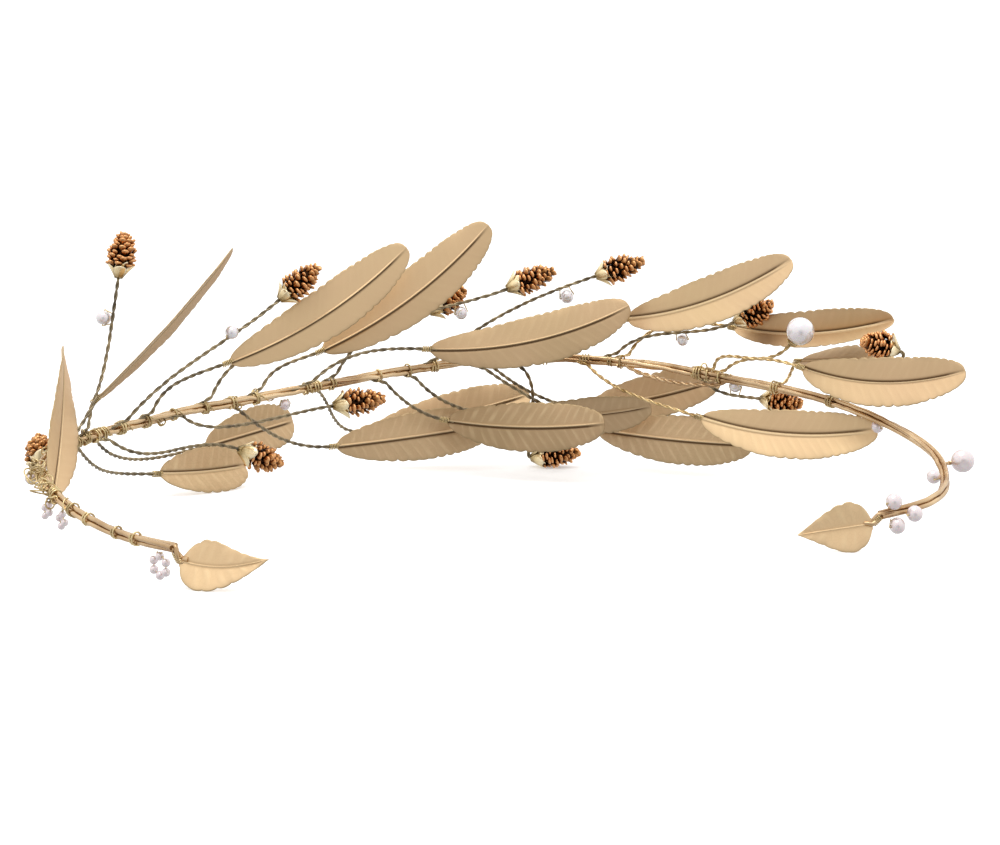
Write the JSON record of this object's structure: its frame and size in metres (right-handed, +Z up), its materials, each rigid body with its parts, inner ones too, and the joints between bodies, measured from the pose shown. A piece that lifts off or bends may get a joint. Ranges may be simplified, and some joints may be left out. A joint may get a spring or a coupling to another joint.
{
  "type": "leaf headband",
  "caption": "Open hoop of gold-coloured wire with matte metal leaves, small pine cones on twisted stems and pearl beads, worn round the head as a hair vine.",
  "frame": {"origin": "middle of the whole headband's footprint, on the surface that it lies on", "axes": "+X to the right as seen from the open side, along the hoop's width; +Y from the open side to the closed far side; +Z up as the headband lies"},
  "size_m": [0.1595, 0.1144, 0.0483],
  "materials": {
    "band_wire": "bright gold-coloured drawn wire",
    "leaf_metal": "matte brushed pale gold",
    "stem_wire": "dark aged twisted wire, with gilt cups under the cones",
    "cone_metal": "copper-brown cast metal",
    "pearl": "pearly white"
  },
  "bodies": {
    "root": {"band": "band_wire", "band_side_strand": "band_wire", "pearl_stem": "stem_wire", "large_pearl": "pearl", "end_leaf_left": "leaf_metal", "end_leaf_right": "leaf_metal", "leaf_01": "leaf_metal", "leaf_02": "leaf_metal", "leaf_03": "leaf_metal", "leaf_04": "leaf_metal", "leaf_05": "leaf_metal", "leaf_06": "leaf_metal", "leaf_07": "leaf_metal", "leaf_08": "leaf_metal", "leaf_09": "leaf_metal", "leaf_10": "leaf_metal", "leaf_11": "leaf_metal", "leaf_12": "leaf_metal", "leaf_13": "leaf_metal", "leaf_14": "leaf_metal", "leaf_15": "leaf_metal", "leaf_16": "leaf_metal", "leaf_17": "leaf_metal", "leaf_18": "leaf_metal", "cone_01": "cone_metal", "cone_02": "cone_metal", "cone_03": "cone_metal", "cone_04": "cone_metal", "cone_05": "cone_metal", "cone_06": "cone_metal", "cone_07": "cone_metal", "cone_08": "cone_metal", "cone_09": "cone_metal", "cone_10": "cone_metal", "cone_11": "cone_metal", "cone_12": "cone_metal", "cone_stem_01": "stem_wire", "cone_stem_02": "stem_wire", "cone_stem_03": "stem_wire", "cone_stem_04": "stem_wire", "cone_stem_05": "stem_wire", "cone_stem_06": "stem_wire", "cone_stem_07": "stem_wire", "cone_stem_08": "stem_wire", "cone_stem_09": "stem_wire", "cone_stem_10": "stem_wire", "cone_stem_11": "stem_wire", "cone_stem_12": "stem_wire", "stem_bead_1": "pearl", "stem_bead_2": "pearl", "stem_bead_3": "pearl", "stem_bead_4": "pearl", "stem_bead_5": "pearl", "stem_bead_6": "pearl", "band_pearls_1": "pearl", "band_pearls_2": "pearl", "band_pearls_3": "pearl", "band_pearls_4": "pearl", "band_pearls_5": "pearl", "band_pearls_6": "pearl"}
  },
  "joints": []
}
